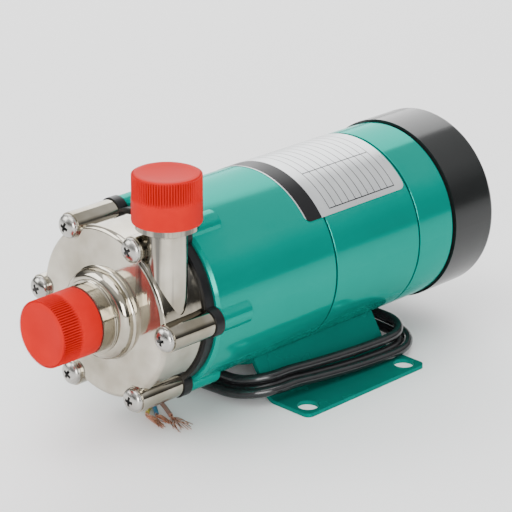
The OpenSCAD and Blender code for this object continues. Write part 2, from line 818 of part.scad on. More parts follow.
module impeller_magnet() {
    color(grey) turned() band(carrier_r - 4.6 + press_clearance, carrier_r - 0.6 - press_clearance,
        back_disc + 3, carrier_rear);
}

module impeller_bush() {
    color(white) turned() band(spindle_r + run_clearance, bush_r, bush_front, bush_rear);
}

// The inlet's outline: a bulge that flows out of the drum's face, two beads, the neck, the thread.
module inlet_outline() {
    neck_r = shoulder_d / 2;
    bead_front = inlet_shoulder + neck_length;
    second_bead = bead_front + 1.4 * bead_width;
    bead_rear = second_bead + bead_width;
    bead_bevel = 0.3 * bead_width;
    bulge_r = bulge_d / 2;
    fillet = 1.4;
    crown = drum_face - fillet;
    rise = crown - bead_rear;
    drop = bulge_r - neck_r;
    arc_r = (rise * rise + drop * drop) / (2 * drop);
    root_r = bulge_r - 0.05;
    band(0, thread_r, inlet_tip, drum_face + 1);
    band(0, neck_r, inlet_shoulder, crown);
    bevelled_band(bead_d / 2, bead_front, bead_front + bead_width, bead_bevel, bead_bevel);
    bevelled_band(bead_d / 2, second_bead, bead_rear, bead_bevel, bead_bevel);
    intersection() {
        translate([bulge_r - arc_r, crown]) circle(r = arc_r);
        band(0, bulge_r + 1, bead_rear - 0.3, drum_face + 1);
    }
    band(0, root_r, crown, drum_face + 1);
    difference() {
        band(root_r - 1, root_r + fillet, drum_face - fillet, drum_face + 0.5);
        translate([root_r + fillet, drum_face - fillet]) circle(r = fillet + 0.2);
    }
}

module drum_outline() {
    band(0, drum_r - rim_round, drum_face, can_front);
    band(0, drum_r, drum_face + rim_round, can_front);
    translate([drum_r - rim_round, drum_face + rim_round]) circle(r = rim_round);
}

// The outlet: a pipe that leaves the drum at a tangent, a cone, a shoulder and the thread.
module outlet_body() {
    flare = (outlet_shoulder_d - outlet_pipe_d) / 2;
    shoulder_bottom = outlet_shoulder - shoulder_width;
    translate([outlet_x, outlet_y, 0]) {
        translate([0, 0, axis_height]) cylinder(d = outlet_pipe_d, h = shoulder_bottom - axis_height);
        translate([0, 0, shoulder_bottom - flare / 2])
            cylinder(d1 = outlet_pipe_d, d2 = outlet_shoulder_d, h = flare / 2);
        translate([0, 0, shoulder_bottom - tiny]) cylinder(d = outlet_shoulder_d, h = shoulder_width + tiny);
        translate([0, 0, outlet_shoulder - tiny]) cylinder(d = thread_d, h = thread_length + tiny);
    }
}

module pump_casing() {
    color(steel) difference() {
        union() {
            turned() drum_outline();
            turned() inlet_outline();
            at_screws() bar(column_r, screw_seat, can_front - seam_relief);
            outlet_body();
        }
        turned() band(0, chamber_r, chamber_front, can_front + 1);
        turned() band(0, inlet_bore / 2, inlet_tip - 1, chamber_front + 1);
        turned() band(seal_circle_r - seal_r - 0.15, seal_circle_r + seal_r + 0.15,
            can_front - 2 * seal_r - 0.1, can_front + 1);
        translate([outlet_x, outlet_y, axis_height]) cylinder(d = outlet_bore, h = outlet_tip - axis_height + 1);
        at_screws() bar(screw_hole_r, screw_seat - 1, can_front + 1);
    }
}

module casing_screw(i) {
    color(steel) around(screw_angle(i), screw_circle_r) translate([0, screw_seat, 0])
        pan_screw(screw_d, head_d, head_height, bracket_front + screw_grip - screw_seat);
}

// Caps

// A cap along +Z from its open end: a plain skirt, then a narrower end with ribs.
module cap() {
    bevel = 0.8;
    rib_width = 0.5;
    top_r = cap_top_d / 2;
    difference() {
        union() {
            cylinder(d = cap_skirt_d, h = cap_skirt);
            cylinder(r = top_r, h = cap_length - bevel);
            translate([0, 0, cap_length - bevel - tiny]) cylinder(r1 = top_r, r2 = top_r - bevel, h = bevel);
            for (i = [1 : rib_count]) rotate(i * 360 / rib_count)
                translate([top_r - 0.3, -rib_width / 2, cap_skirt - tiny])
                    cube([0.3 + rib_height, rib_width, cap_length - cap_skirt - bevel]);
        }
        translate([0, 0, -1]) cylinder(d = thread_d + 2 * cap_clearance, h = cap_length - cap_end + 1);
    }
}

module inlet_cap() {
    color(red) translate([0, inlet_shoulder - cap_gap, axis_height]) rotate([90, 0, 0]) cap();
}

module outlet_cap() {
    color(red) translate([outlet_x, outlet_y, outlet_shoulder + cap_gap]) cap();
}

// Cable

// The rubber sleeve that holds the cable in the boss on the rear ring.
module cable_sleeve() {
    color(black) around(sleeve_angle, sleeve_radius) {
        bar(plug_r, sleeve_rear - tiny, sleeve_rear + plug_length);
        bar(collar_r, sleeve_rear - collar_width, sleeve_rear);
        translate([0, sleeve_tip, 0]) rotate([-90, 0, 0])
            cylinder(d1 = cable_d + 1.2, d2 = cable_d + 3, h = sleeve_length - collar_width + tiny);
    }
}

function unit(v) = v / norm(v);
function heading(route, i) =
    unit(route[min(i + 1, len(route) - 1)] - route[max(i - 1, 0)]);
function ring_points(centre, along, r, sides) =
    let (across = unit(cross(along, [0, 0, 1])), upward = cross(across, along))
        [for (k = [0 : sides - 1]) centre
            + r * (cos(k * 360 / sides) * across + sin(k * 360 / sides) * upward)];

// A tube of straight stretches along a route, closed at both ends.
module tube(route, d, sides = 8) {
    rings = len(route);
    points = [for (i = [0 : rings - 1]) each ring_points(route[i], heading(route, i), d / 2, sides)];
    first = [for (k = [0 : sides - 1]) k];
    last = [for (k = [0 : sides - 1]) rings * sides - 1 - k];
    walls = [for (i = [0 : rings - 2], k = [0 : sides - 1])
        let (a = i * sides + k, b = i * sides + (k + 1) % sides) each [[a, a + sides, b], [b, a + sides, b + sides]]];
    polyhedron(points, concat([first, last], walls));
}

// A quarter bend of the cable, from one height to another.
function quarter(x, y, r, start, z_from, z_to) = [for (k = [0 : 5])
    [x + r * cos(start + 18 * k), y + r * sin(start + 18 * k), z_from + (z_to - z_from) * k / 5]];

// One turn round the foot: two front bends and two rear bends, with their heights.
function turn(r, z) = concat(
    quarter(-bend_x, front_bend, r, 180, z[0], z[1]), quarter(bend_x - front_pull, front_bend, r, 270, z[1], z[2]),
    near_run(bend_x + r, z[2], z[3]), quarter(bend_x, rear_bend, r, 0, z[3], z[4]),
    quarter(-bend_x, rear_bend, r, 90, min(z[4], z[5]), z[5]));

// The stretch along the foot's near wall, which comes down on the flange.
function near_run(x, z_from, z_to) = [for (k = [1 : 4])
    let (t = k / 5, ease = 1 - pow(1 - t, 3))
        [x - front_pull * (1 - ease), front_bend + (rear_bend - front_bend) * t, z_from + (z_to - z_from) * ease]];

// A stretch along the foot's far wall that passes from one lane to the next.
function slide(x_from, y_from, x_to, y_to, z_from, z_to) = [for (k = [0 : 4])
    let (t = k / 4, ease = t * t * (3 - 2 * t))
        [-x_from - (x_to - x_from) * ease, y_from + (y_to - y_from) * t, z_from + (z_to - z_from) * ease]];

module cable() {
    color(black) tube(cable_route, cable_d);
}

module core(route, colour) {
    color(colour) tube(route, core_d);
}

base();
base_screw(foot_screw_front);  // base_screw_front
base_screw(foot_screw_rear);  // base_screw_rear
front_bracket();
motor_shell();
rear_ring();
fan_cover();
for (i = [1 : 3]) cover_screw(i);
stator_core();
stator_winding();
rotor_core();
motor_shaft();
bearing_outer(front_bearing_y);  // front_bearing_outer
bearing_inner(front_bearing_y);  // front_bearing_inner
bearing_balls(front_bearing_y);  // front_bearing_balls
bearing_outer(rear_bearing_y);  // rear_bearing_outer
bearing_inner(rear_bearing_y);  // rear_bearing_inner
bearing_balls(rear_bearing_y);  // rear_bearing_balls
preload_washer();
fan();
for (i = [1 : 4]) tie_bolt(i);
magnet_hub();
drive_magnet();
hub_set_screw();
rear_casing();
casing_seal();
spindle();
spindle_support();
thrust_ring(support_rear);  // front_thrust_ring
thrust_ring(socket_front - thrust_thickness);  // rear_thrust_ring
impeller();
impeller_magnet();
impeller_bush();
pump_casing();
for (i = [1 : 6]) casing_screw(i);
inlet_cap();
outlet_cap();
cable_sleeve();
cable();
core(brown_route, [0.35, 0.2, 0.12]);  // core_brown
core(blue_route, [0.15, 0.4, 0.65]);  // core_blue
core(earth_route, [0.55, 0.62, 0.15]);  // core_earth
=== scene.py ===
import math

import bpy
from mathutils import Matrix, Vector


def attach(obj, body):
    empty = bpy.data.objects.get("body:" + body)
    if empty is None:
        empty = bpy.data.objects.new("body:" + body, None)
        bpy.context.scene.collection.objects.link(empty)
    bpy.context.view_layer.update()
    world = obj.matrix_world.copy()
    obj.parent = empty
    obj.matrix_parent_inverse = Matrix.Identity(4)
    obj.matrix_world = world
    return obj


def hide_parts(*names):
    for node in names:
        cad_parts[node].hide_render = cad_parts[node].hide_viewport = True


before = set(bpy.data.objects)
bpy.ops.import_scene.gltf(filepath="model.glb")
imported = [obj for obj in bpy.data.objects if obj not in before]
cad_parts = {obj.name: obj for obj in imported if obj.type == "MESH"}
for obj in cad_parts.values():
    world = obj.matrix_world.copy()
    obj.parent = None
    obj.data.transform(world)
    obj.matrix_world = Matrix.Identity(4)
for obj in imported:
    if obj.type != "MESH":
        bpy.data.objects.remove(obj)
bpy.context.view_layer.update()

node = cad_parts
bpy.ops.object.select_all(action="DESELECT")


# Foot
# One sheet of mild steel, pressed into a trough with two flanges and punched with four holes.
# It is sprayed with the motor's green gloss paint, and two pan screws hold it from below.

mm = 0.001
mark_sockets = ("Cloud Scale", "Fine Scale", "Speck Scale", "Speck Size")
plain_cells = 0.72
cloud_range = (0.3, 0.7)
bump_height = 0.2 * mm

marks = bpy.data.node_groups.new("surface_marks", "ShaderNodeTree")
for socket in mark_sockets:
    marks.interface.new_socket(socket, in_out="INPUT", socket_type="NodeSocketFloat")
for socket in ("Cloud", "Fine", "Specks"):
    marks.interface.new_socket(socket, in_out="OUTPUT", socket_type="NodeSocketFloat")
marks_in = marks.nodes.new("NodeGroupInput")
marks_out = marks.nodes.new("NodeGroupOutput")
marks_place = marks.nodes.new("ShaderNodeTexCoord")
clouds = marks.nodes.new("ShaderNodeTexNoise")
clouds.inputs["Detail"].default_value = 3.0
fine = marks.nodes.new("ShaderNodeTexNoise")
fine.inputs["Detail"].default_value = 2.0
cells = marks.nodes.new("ShaderNodeTexVoronoi")
cell_tone = marks.nodes.new("ShaderNodeSeparateColor")
near_middle = marks.nodes.new("ShaderNodeMath")
near_middle.operation = "LESS_THAN"
few_cells = marks.nodes.new("ShaderNodeMath")
few_cells.operation = "GREATER_THAN"
few_cells.inputs[1].default_value = plain_cells
both = marks.nodes.new("ShaderNodeMath")
both.operation = "MULTIPLY"
for texture, socket in ((clouds, "Cloud Scale"), (fine, "Fine Scale"), (cells, "Speck Scale")):
    marks.links.new(marks_place.outputs["Object"], texture.inputs["Vector"])
    marks.links.new(marks_in.outputs[socket], texture.inputs["Scale"])
marks.links.new(cells.outputs["Distance"], near_middle.inputs[0])
marks.links.new(marks_in.outputs["Speck Size"], near_middle.inputs[1])
marks.links.new(cells.outputs["Color"], cell_tone.inputs["Color"])
marks.links.new(cell_tone.outputs["Red"], few_cells.inputs[0])
marks.links.new(near_middle.outputs[0], both.inputs[0])
marks.links.new(few_cells.outputs[0], both.inputs[1])
marks.links.new(clouds.outputs["Fac"], marks_out.inputs["Cloud"])
marks.links.new(fine.outputs["Fac"], marks_out.inputs["Fine"])
marks.links.new(both.outputs[0], marks_out.inputs["Specks"])


def mapped(material, value, source, target=(0.0, 1.0)):
    """A value of a material's pattern, moved from one range to another and held inside it."""
    moved = material.node_tree.nodes.new("ShaderNodeMapRange")
    for socket, number in zip(("From Min", "From Max", "To Min", "To Max"), (*source, *target)):
        moved.inputs[socket].default_value = number
    material.node_tree.links.new(value, moved.inputs["Value"])
    return moved.outputs["Result"]


def finish(name, tones, speck_tone, roughness, scales, bump, constants):
    """A material: two tones in soft clouds with specks, a roughness that follows them, a fine bump."""
    material = bpy.data.materials.new(name)
    material.use_nodes = True
    nodes = material.node_tree.nodes
    link = material.node_tree.links.new
    shader = nodes["Principled BSDF"]
    for socket, value in constants.items():
        shader.inputs[socket].default_value = value
    place = nodes.new("ShaderNodeGroup")
    place.node_tree = marks
    for socket, value in zip(mark_sockets, scales):
        place.inputs[socket].default_value = value
    tone = nodes.new("ShaderNodeMix")
    tone.data_type = "RGBA"
    tone.inputs["A"].default_value = (*tones[0], 1.0)
    tone.inputs["B"].default_value = (*tones[1], 1.0)
    link(mapped(material, place.outputs["Cloud"], cloud_range), tone.inputs["Factor"])
    specked = nodes.new("ShaderNodeMix")
    specked.data_type = "RGBA"
    specked.inputs["B"].default_value = (*speck_tone, 1.0)
    link(place.outputs["Specks"], specked.inputs["Factor"])
    link(tone.outputs["Result"], specked.inputs["A"])
    link(specked.outputs["Result"], shader.inputs["Base Color"])
    link(mapped(material, place.outputs["Cloud"], cloud_range, roughness), shader.inputs["Roughness"])
    relief = nodes.new("ShaderNodeBump")
    relief.name = "relief"
    relief.inputs["Strength"].default_value = bump
    relief.inputs["Distance"].default_value = bump_height
    link(place.outputs["Fine"], relief.inputs["Height"])
    link(relief.outputs["Normal"], shader.inputs["Normal"])
    return material


def dress(material, *names):
    """Puts a material on nodes of the CAD."""
    for name in names:
        node[name].material_slots[0].material = material


foot_paint = finish("foot_paint", ((0.0, 0.165, 0.130), (0.0, 0.185, 0.146)), (0.02, 0.25, 0.2),
                    (0.2, 0.3), (60.0, 1400.0, 420.0, 0.04), 0.03,
                    {"Metallic": 0.4, "Specular IOR Level": 0.08, "Specular Tint": (0.2, 1.0, 0.9, 1.0)})
dress(foot_paint, "base")
zinc_steel = finish("zinc_steel", ((0.56, 0.56, 0.55), (0.66, 0.66, 0.64)), (0.42, 0.42, 0.4),
                    (0.2, 0.34), (180.0, 2400.0, 700.0, 0.06), 0.08, {"Metallic": 1.0})
dress(zinc_steel, "base_screw_front", "base_screw_rear")


# Motor body
# Three turned aluminium castings in a row: the bracket that carries the pump, the shell round the
# stator and the bearing ring. They are sprayed in one go, and a thin dark band of painted shade lies along
# the two seams.

front_seam_y = -6.8 * mm
rear_seam_y = 37.2 * mm
seam_shade_reach = 0.38 * mm


def sum_of(material, operation, first, second):
    """One sum in a material's pattern, of sockets or numbers."""
    sum_node = material.node_tree.nodes.new("ShaderNodeMath")
    sum_node.operation = operation
    for place, value in enumerate((first, second)):
        if isinstance(value, (int, float)):
            sum_node.inputs[place].default_value = value
        else:
            material.node_tree.links.new(value, sum_node.inputs[place])
    return sum_node.outputs[0]


def object_axes(material):
    """The three coordinates of a point on the piece, as sockets."""
    place = material.node_tree.nodes.new("ShaderNodeTexCoord")
    axes = material.node_tree.nodes.new("ShaderNodeSeparateXYZ")
    material.node_tree.links.new(place.outputs["Object"], axes.inputs["Vector"])
    return axes.outputs


def laid_over(material, mask, tone, roughness=None):
    """Lays another tone, and a roughness where one is given, over a finish where a mask is 1."""
    nodes = material.node_tree.nodes
    link = material.node_tree.links.new
    shader = nodes["Principled BSDF"]
    layers = [("Base Color", "RGBA", (*tone, 1.0))]
    if roughness is not None:
        layers.append(("Roughness", "FLOAT", roughness))
    for socket, kind, value in layers:
        layer = nodes.new("ShaderNodeMix")
        layer.data_type = kind
        layer.inputs["B"].default_value = value
        link(mask, layer.inputs["Factor"])
        link(shader.inputs[socket].links[0].from_socket, layer.inputs["A"])
        link(layer.outputs["Result"], shader.inputs[socket])


body_paint = finish("body_paint", ((0.0, 0.236, 0.184), (0.0, 0.254, 0.199)), (0.15, 0.4, 0.36),
                    (0.12, 0.17), (22.0, 1100.0, 190.0, 0.02), 0.004,
                    {"Metallic": 0.45, "Specular IOR Level": 0.03, "Specular Tint": (0.05, 1.0, 0.9, 1.0)})
along_body = object_axes(body_paint)["Y"]
# The dark, rough band along both seams is painted shade of the grooves between the castings.
from_seams = [sum_of(body_paint, "ABSOLUTE", sum_of(body_paint, "SUBTRACT", along_body, seam_y), 0)
              for seam_y in (front_seam_y, rear_seam_y)]
painted_seam_shade = sum_of(body_paint, "LESS_THAN", sum_of(body_paint, "MINIMUM", *from_seams), seam_shade_reach)
laid_over(body_paint, painted_seam_shade, (0.0, 0.03, 0.026), 0.75)
dress(body_paint, "front_bracket", "motor_shell", "rear_ring")


# Stator, rotor and bearings
# Thin steel sheets stacked along the shaft make both cores, and enamelled copper wire lies in the
# stator's slots. Two ball bearings carry the ground shaft, and four long bolts tie the body together.

wave_length = 0.314


def lined(material, pitch, depth, axis):
    """Adds fine parallel lines across one axis to a material's bump, as sheets, wires or turning leave."""
    nodes = material.node_tree.nodes
    link = material.node_tree.links.new
    where = nodes.new("ShaderNodeTexCoord")
    wave = nodes.new("ShaderNodeTexWave")
    wave.bands_direction = axis
    wave.inputs["Scale"].default_value = wave_length / pitch
    link(where.outputs["Object"], wave.inputs["Vector"])
    ridges = nodes.new("ShaderNodeBump")
    ridges.inputs["Strength"].default_value = 0.5
    ridges.inputs["Distance"].default_value = depth
    link(wave.outputs["Fac"], ridges.inputs["Height"])
    link(nodes["relief"].outputs["Normal"], ridges.inputs["Normal"])
    link(ridges.outputs["Normal"], nodes["Principled BSDF"].inputs["Normal"])


sheet_stack = finish("sheet_stack", ((0.17, 0.17, 0.18), (0.23, 0.23, 0.24)), (0.1, 0.1, 0.1),
                     (0.35, 0.5), (120.0, 1800.0, 600.0, 0.05), 0.1, {"Metallic": 1.0})
lined(sheet_stack, 0.5 * mm, 0.1 * mm, "Y")
dress(sheet_stack, "stator_core", "rotor_core")
enamelled_wire = finish("enamelled_wire", ((0.45, 0.17, 0.06), (0.6, 0.25, 0.09)), (0.3, 0.1, 0.04),
                        (0.22, 0.34), (200.0, 1600.0, 600.0, 0.05), 0.1,
                        {"Metallic": 0.8, "Coat Weight": 0.5})
lined(enamelled_wire, 0.6 * mm, 0.25 * mm, "DIAGONAL")
dress(enamelled_wire, "stator_winding")
ground_steel = finish("ground_steel", ((0.6, 0.6, 0.6), (0.7, 0.7, 0.69)), (0.5, 0.5, 0.5),
                      (0.1, 0.18), (90.0, 3000.0, 900.0, 0.03), 0.05, {"Metallic": 1.0})
dress(ground_steel, "motor_shaft", "front_bearing_outer", "front_bearing_inner", "front_bearing_balls",
      "rear_bearing_outer", "rear_bearing_inner", "rear_bearing_balls", "preload_washer")
dress(zinc_steel, "tie_bolt_1", "tie_bolt_2", "tie_bolt_3", "tie_bolt_4")


# Fan and its cover
# The fan is moulded in glass filled plastic and pressed on the shaft. The cover is a glossy dark grey
# moulding with air slots in its end, held to the bearing ring by three screws in deep pockets.

cover_plastic = finish("cover_plastic", ((0.009, 0.010, 0.010), (0.012, 0.013, 0.013)), (0.05, 0.05, 0.052),
                       (0.15, 0.21), (40.0, 2600.0, 300.0, 0.03), 0.04, {"Specular IOR Level": 0.34})
dress(cover_plastic, "fan_cover")
fan_plastic = finish("fan_plastic", ((0.012, 0.012, 0.013), (0.02, 0.02, 0.021)), (0.05, 0.05, 0.05),
                     (0.45, 0.6), (150.0, 2200.0, 500.0, 0.06), 0.15, {})
dress(fan_plastic, "fan")
dress(zinc_steel, "cover_screw_1", "cover_screw_2", "cover_screw_3")


# Magnetic drive
# A turned steel cup on the shaft holds a sintered magnet ring outside the can. It drives a second
# ring that is moulded into the impeller inside the can. A set screw locks the cup.

cup_steel = finish("cup_steel", ((0.36, 0.36, 0.37), (0.44, 0.44, 0.44)), (0.25, 0.24, 0.23),
                   (0.25, 0.38), (100.0, 2000.0, 500.0, 0.05), 0.08, {"Metallic": 1.0})
lined(cup_steel, 0.4 * mm, 0.04 * mm, "Y")
dress(cup_steel, "magnet_hub")
dress(zinc_steel, "hub_set_screw")
sintered = finish("sintered_magnet", ((0.03, 0.03, 0.032), (0.055, 0.053, 0.052)), (0.1, 0.1, 0.1),
                  (0.4, 0.6), (160.0, 2600.0, 700.0, 0.08), 0.2, {"Metallic": 0.4})
dress(sintered, "drive_magnet", "impeller_magnet")


# Can, seal and impeller
# The can is moulded in black filled plastic, with a flange that shows between casing and bracket.
# A rubber ring seals it. The impeller runs on a white ceramic shaft between two ceramic rings.

can_plastic = finish("can_plastic", ((0.008, 0.008, 0.009), (0.013, 0.013, 0.014)), (0.05, 0.05, 0.05),
                     (0.3, 0.44), (140.0, 2400.0, 420.0, 0.05), 0.1, {"Specular IOR Level": 0.16})
dress(can_plastic, "rear_casing")
seal_rubber = finish("seal_rubber", ((0.012, 0.012, 0.012), (0.018, 0.018, 0.018)), (0.04, 0.04, 0.04),
                     (0.5, 0.65), (200.0, 2600.0, 600.0, 0.05), 0.12, {})
dress(seal_rubber, "casing_seal")
ceramic = finish("ceramic", ((0.82, 0.8, 0.75), (0.88, 0.87, 0.83)), (0.7, 0.66, 0.58),
                 (0.16, 0.26), (80.0, 2200.0, 500.0, 0.04), 0.04, {"Coat Weight": 0.2})
dress(ceramic, "spindle", "front_thrust_ring", "rear_thrust_ring")
impeller_plastic = finish("impeller_plastic", ((0.60, 0.59, 0.55), (0.68, 0.67, 0.63)), (0.4, 0.39, 0.36),
                          (0.38, 0.5), (130.0, 2000.0, 450.0, 0.05), 0.1, {"Subsurface Weight": 0.1})
dress(impeller_plastic, "impeller", "spindle_support")
bush_carbon = finish("bush_carbon", ((0.02, 0.02, 0.021), (0.035, 0.035, 0.036)), (0.07, 0.07, 0.07),
                     (0.3, 0.42), (220.0, 2600.0, 600.0, 0.05), 0.08, {"Metallic": 0.2})
dress(bush_carbon, "impeller_bush")


# Pump casing
# A stainless investment casting with six screw columns, the inlet's bulged root and the outlet pipe.
# It is polished bright, with dark streaks of painted reflection up the pipe, and its hazier face has faint
# stains and small pits.

pipe_left_x = 16.2 * mm
pipe_foot = (46 * mm, 58 * mm)
streak_scale = (360.0, 360.0, 9.0)
streak_range = (0.44, 0.58)
reflection_streak_cover = (0.0, 0.9)
face_turn = (-0.8, -0.97)
face_metal = (1.0, 0.86)

polished_steel = finish("polished_steel", ((0.255, 0.227, 0.172), (0.53, 0.496, 0.422)), (0.12, 0.105, 0.08),
                        (0.04, 0.11), (58.0, 1500.0, 330.0, 0.035), 0.06, {"Metallic": 1.0})
nodes = polished_steel.node_tree.nodes
link = polished_steel.node_tree.links.new
steel_shader = nodes["Principled BSDF"]
steel_axes = object_axes(polished_steel)
beside_drum = sum_of(polished_steel, "GREATER_THAN", steel_axes["X"], pipe_left_x)
on_pipe = sum_of(polished_steel, "MULTIPLY", beside_drum, mapped(polished_steel, steel_axes["Z"], pipe_foot))
steel_place = nodes.new("ShaderNodeTexCoord")
drawn_out = nodes.new("ShaderNodeMapping")
drawn_out.inputs["Scale"].default_value = streak_scale
link(steel_place.outputs["Object"], drawn_out.inputs["Vector"])
streaks = nodes.new("ShaderNodeTexNoise")
streaks.inputs["Scale"].default_value = 1.0
streaks.inputs["Detail"].default_value = 2.0
link(drawn_out.outputs["Vector"], streaks.inputs["Vector"])
polish = nodes.new("ShaderNodeBump")
polish.inputs["Strength"].default_value = 0.5
polish.inputs["Distance"].default_value = bump_height
link(sum_of(polished_steel, "MULTIPLY", streaks.outputs["Fac"], on_pipe), polish.inputs["Height"])
link(nodes["relief"].outputs["Normal"], polish.inputs["Normal"])
link(polish.outputs["Normal"], steel_shader.inputs["Normal"])
# The dark streaks laid over the pipe are painted reflection, standing in for the darker room mirrored in it.
painted_reflection_streaks = mapped(polished_steel, streaks.outputs["Fac"], streak_range, reflection_streak_cover)
laid_over(polished_steel, sum_of(polished_steel, "MULTIPLY", painted_reflection_streaks, on_pipe), (0.1, 0.096, 0.088), 0.2)
facing = nodes.new("ShaderNodeSeparateXYZ")
link(steel_place.outputs["Normal"], facing.inputs["Vector"])
link(mapped(polished_steel, facing.outputs["Y"], face_turn, face_metal), steel_shader.inputs["Metallic"])
dress(polished_steel, "pump_casing")


# Port threads
# Half inch pipe threads are cut on both ports of the casing. Each is one low ridge with sloping
# flanks that runs seven turns up the port, and the caps cover them while the pump is stored.

axis_height = 43.4 * mm
outlet_place = (23.0 * mm, -78.5 * mm)
outlet_thread_z = 80.2 * mm
inlet_thread_y = -96.8 * mm
thread_pitch = 1.814 * mm
thread_turns = 7
thread_steps = 72
thread_start = 0.9
root_r = 10.12
crest_r = 10.45
flank = 0.62
crest = 0.2
standing = (0, 0, 0)
to_the_front = (math.pi / 2, 0, 0)


def only(piece):
    """Selects one piece and nothing else."""
    bpy.ops.object.select_all(action="DESELECT")
    piece.select_set(True)
    bpy.context.view_layer.objects.active = piece


def named(name):
    """Names the piece that was just added, and its mesh."""
    piece = bpy.context.object
    piece.name = name
    piece.data.name = name
    return piece


def drawn_outline(name, outline):
    """Draws an outline of (radius, height) in mm by extruding a vertex, and stays in edit mode."""
    bpy.ops.object.select_all(action="DESELECT")
    bpy.ops.mesh.primitive_plane_add(size=1 * mm)
    piece = named(name)
    bpy.ops.object.mode_set(mode="EDIT")
    bpy.ops.mesh.select_all(action="SELECT")
    bpy.ops.mesh.merge(type="CENTER")
    bpy.ops.transform.translate(value=(outline[0][0] * mm, 0, outline[0][1] * mm))
    for (r0, z0), (r1, z1) in zip(outline, outline[1:]):
        step = ((r1 - r0) * mm, 0, (z1 - z0) * mm)
        bpy.ops.mesh.extrude_region_move(TRANSFORM_OT_translate={"value": step})
    return piece


def faces_outwards():
    """Turns all faces of the piece in edit mode outwards and leaves edit mode."""
    bpy.ops.mesh.select_all(action="SELECT")
    bpy.ops.mesh.normals_make_consistent(inside=False)
    bpy.ops.object.mode_set(mode="OBJECT")


def set_down(piece, turn, place):
    """Turns a piece, puts it in its place and leaves the place in its mesh."""
    only(piece)
    piece.rotation_euler = turn
    piece.location = place
    bpy.ops.object.transform_apply(location=True, rotation=True, scale=True)


def smooth(piece, degrees):
    """Shades a piece smooth, apart from edges that turn by more than an angle."""
    only(piece)
    bpy.ops.object.shade_smooth_by_angle(angle=math.radians(degrees))


def copied(piece, name):
    """A copy of a piece with its own mesh."""
    only(piece)
    bpy.ops.object.duplicate()
    return named(name)


ridge = ((root_r, thread_start), (crest_r, thread_start + flank), (crest_r, thread_start + flank + crest),
         (root_r, thread_start + 2 * flank + crest))
outlet_thread = drawn_outline("outlet_thread", ridge)
bpy.ops.object.mode_set(mode="OBJECT")
winding = outlet_thread.modifiers.new("winding", "SCREW")
winding.axis = "Z"
winding.angle = math.tau
winding.screw_offset = thread_pitch
winding.iterations = thread_turns
winding.steps = thread_steps
winding.render_steps = thread_steps
bpy.ops.object.modifier_apply(modifier="winding")
bpy.ops.object.mode_set(mode="EDIT")
faces_outwards()
smooth(outlet_thread, 25.0)
outlet_thread.data.materials.append(polished_steel)
inlet_thread = copied(outlet_thread, "inlet_thread")
set_down(outlet_thread, standing, (*outlet_place, outlet_thread_z))
set_down(inlet_thread, to_the_front, (0, inlet_thread_y, axis_height))
for thread in (outlet_thread, inlet_thread):
    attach(thread, "pump")


# Casing screws
# Six stainless pan head screws hold the casing and the can to the bracket. Their domed heads are
# rolled bright and have a cross recess, painted dark as its shade, and each was left at its own angle when it
# was tightened.

screw_circle_r = 31.1 * mm
screw_seat_y = -86.9 * mm
screw_twists = (12.0, 40.0, 71.0, 25.0, 58.0, 83.0)
rim_r = 4.28
rim_top = 0.7
rim_foot = 0.14
dome_r = 4.18
dome_foot = 0.8
dome_height = 2.1
shank_r = 2.0
shank_end = -30.2
tip_r = 1.6
tip_end = -31.2
cross_size = (4.6, 1.2, 2.6)
cross_middle = 2.35 * mm
cross_floor = 1.05 * mm
cross_taper = (0.35, 0.75, 1.0)


def turn_about_z(name, outline, steps):
    """Draws an outline of (radius, height) in mm and spins it about Z."""
    piece = drawn_outline(name, outline)
    bpy.ops.mesh.select_all(action="SELECT")
    bpy.ops.mesh.spin(steps=steps, angle=math.tau, center=(0, 0, 0), axis=(0, 0, 1))
    bpy.ops.mesh.select_all(action="SELECT")
    bpy.ops.mesh.remove_doubles(threshold=1e-7)
    faces_outwards()
    return piece


def rounded(middle, reach, step):
    """A quarter of an ellipse from its top to its side, as (radius, height) every few degrees."""
    angles = [math.radians(degrees) for degrees in range(0, 91, step)]
    return [(middle[0] + reach[0] * math.sin(t), middle[1] + reach[1] * math.cos(t)) for t in angles]


head_steel = finish("head_steel", ((0.36, 0.35, 0.325), (0.44, 0.43, 0.405)), (0.22, 0.21, 0.19),
                    (0.2, 0.3), (160.0, 2600.0, 500.0, 0.04), 0.05, {"Metallic": 1.0})
# The cross recess gets a near-black steel as painted shade inside it.
recess_painted_shade = finish("recess_painted_shade", ((0.05, 0.05, 0.05), (0.09, 0.088, 0.085)), (0.16, 0.15, 0.14),
                      (0.4, 0.55), (400.0, 2600.0, 900.0, 0.06), 0.1, {"Metallic": 0.7})
dome = rounded((0.0, dome_foot), (dome_r, dome_height), 9)
rim_and_shank = [(rim_r, rim_top), (rim_r, rim_foot), (dome_r, 0.0), (shank_r, 0.0), (shank_r, shank_end),
                 (tip_r, tip_end), (0.0, tip_end)]
first_screw = turn_about_z("casing_screw", dome + rim_and_shank, 64)
bpy.ops.object.select_all(action="DESELECT")
bpy.ops.mesh.primitive_cube_add(size=1 * mm, location=(0, 0, cross_middle))
cross = bpy.context.object
cross.scale = cross_size
bpy.ops.object.transform_apply(location=True, rotation=True, scale=True)
bpy.ops.object.mode_set(mode="EDIT")
bpy.ops.mesh.select_all(action="DESELECT")
bpy.ops.object.mode_set(mode="OBJECT")
for corner in cross.data.vertices:
    corner.select = corner.co.z < cross_middle
bpy.ops.object.mode_set(mode="EDIT")
bpy.ops.transform.resize(value=cross_taper, center_override=(0, 0, cross_floor))
bpy.ops.mesh.select_all(action="SELECT")
bpy.ops.mesh.spin(steps=1, angle=math.pi / 2, dupli=True, center=(0, 0, 0), axis=(0, 0, 1))
faces_outwards()
for screw_piece in (first_screw, cross):
    screw_piece.data.materials.append(head_steel)
    screw_piece.data.materials.append(recess_painted_shade)
for face in cross.data.polygons:
    face.material_index = 1
recess = first_screw.modifiers.new("recess", "BOOLEAN")
recess.operation = "DIFFERENCE"
